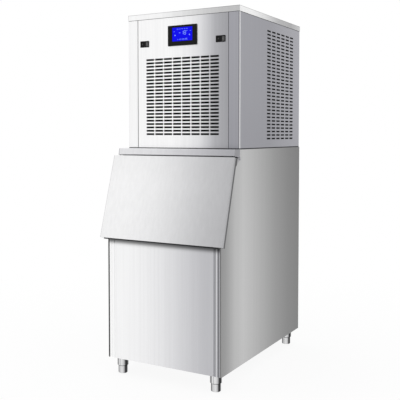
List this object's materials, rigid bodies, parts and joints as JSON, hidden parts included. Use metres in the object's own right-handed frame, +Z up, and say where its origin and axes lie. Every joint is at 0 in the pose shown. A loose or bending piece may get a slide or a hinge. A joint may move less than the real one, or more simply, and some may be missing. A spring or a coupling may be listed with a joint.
{
  "type": "granular ice machine",
  "caption": "Upright stainless ice machine: slotted head with display over an insulated bin with a slanted lift-up door, on adjustable legs.",
  "frame": {"origin": "on the floor under the middle of the whole box", "axes": "+Z up, the front and its door face -Y, +X to the right seen from the front"},
  "size_m": [0.6026, 0.893, 1.587],
  "materials": {
    "stainless": "vertical brushed grain",
    "stainless_inner": "mill",
    "polished": "polished",
    "liner": "smooth moulded",
    "foam": "foamed",
    "gasket": "satin",
    "mesh": "open mesh",
    "black_plastic": "gloss",
    "screen": "lit display",
    "galvanised": "zinc coated sheet",
    "machine_paint": "satin black",
    "casting": "cast",
    "copper": "drawn tube",
    "brass": "machined",
    "white_plastic": "moulded",
    "fins": "finned"
  },
  "bodies": {
    "cabinet": {"bin_side_right": "stainless", "bin_side_left": "stainless", "bin_front": "stainless", "bin_back": "galvanised", "bin_base": "galvanised", "bin_foam": "foam", "bin_liner": "liner", "mouth_frame": "stainless_inner", "bin_deck": "galvanised", "bin_drain": "white_plastic", "hinge_cover": "stainless", "hinge_bracket_right": "polished", "hinge_bracket_left": "polished", "head_tray": "galvanised", "head_side_right": "stainless", "head_side_left": "stainless", "head_front": "stainless", "head_back": "stainless", "head_cap": "stainless", "head_frame": "galvanised", "front_filter": "mesh", "side_filter_right": "mesh", "side_filter_left": "mesh", "display_bezel": "black_plastic", "display_screen": "screen", "control_box": "galvanised", "switch_housing_left": "black_plastic", "switch_housing_right": "black_plastic", "gear_motor": "casting", "evaporator": "stainless_inner", "ice_spout": "white_plastic", "ice_chute": "white_plastic", "compressor": "machine_paint", "condenser": "fins", "fan_shroud": "galvanised", "fan_motor": "machine_paint", "water_tank": "white_plastic", "water_inlet": "brass", "power_gland": "black_plastic", "discharge_pipe": "copper", "liquid_pipe": "copper", "suction_pipe": "copper", "leg_front_left": "polished", "leg_front_right": "polished", "leg_rear_left": "polished", "leg_rear_right": "polished"},
    "door": {"door_skin": "stainless", "door_liner": "liner", "door_foam": "foam", "door_gasket": "gasket"},
    "rocker_left": {"rocker_left": "black_plastic"},
    "rocker_right": {"rocker_right": "black_plastic"},
    "auger": {"auger": "stainless_inner"},
    "fan": {"fan_blade": "casting"},
    "float": {"float_arm": "white_plastic"},
    "flap": {"level_flap": "stainless_inner"},
    "foot_front_left": {"foot_front_left": "polished"},
    "foot_front_right": {"foot_front_right": "polished"},
    "foot_rear_left": {"foot_rear_left": "polished"},
    "foot_rear_right": {"foot_rear_right": "polished"}
  },
  "joints": [
    {"name": "door_hinge", "type": "hinge", "parent": "cabinet", "child": "door", "pos_m": [0, -0.29032, 0.95387], "axis": [-1, 0, 0], "range_deg": [0, 90]},
    {"name": "rocker_left_tilt", "type": "hinge", "parent": "cabinet", "child": "rocker_left", "pos_m": [-0.191, -0.25095, 1.454], "axis": [0, 0, -1], "range_deg": [0, 16]},
    {"name": "rocker_right_tilt", "type": "hinge", "parent": "cabinet", "child": "rocker_right", "pos_m": [0.191, -0.25095, 1.454], "axis": [0, 0, -1], "range_deg": [0, 16]},
    {"name": "auger_spin", "type": "hinge", "parent": "cabinet", "child": "auger", "pos_m": [0.15, 0.03, 1.0692], "axis": [0, 0, 1], "continuous": true},
    {"name": "fan_spin", "type": "hinge", "parent": "cabinet", "child": "fan", "pos_m": [-0.1, -0.13175, 1.1262], "axis": [0, 1, 0], "continuous": true},
    {"name": "float_swing", "type": "hinge", "parent": "cabinet", "child": "float", "pos_m": [0.175, 0.40465, 1.202], "axis": [-1, 0, 0], "range_deg": [0, 15]},
    {"name": "level_flap_swing", "type": "hinge", "parent": "cabinet", "child": "flap", "pos_m": [0, 0.085, 0.9343], "axis": [1, 0, 0], "range_deg": [0, 40]},
    {"name": "foot_front_left_screw", "type": "slide", "parent": "cabinet", "child": "foot_front_left", "axis": [0, 0, -1], "range_m": [0, 0.02]},
    {"name": "foot_front_right_screw", "type": "slide", "parent": "cabinet", "child": "foot_front_right", "axis": [0, 0, -1], "range_m": [0, 0.02]},
    {"name": "foot_rear_left_screw", "type": "slide", "parent": "cabinet", "child": "foot_rear_left", "axis": [0, 0, -1], "range_m": [0, 0.02]},
    {"name": "foot_rear_right_screw", "type": "slide", "parent": "cabinet", "child": "foot_rear_right", "axis": [0, 0, -1], "range_m": [0, 0.02]}
  ]
}
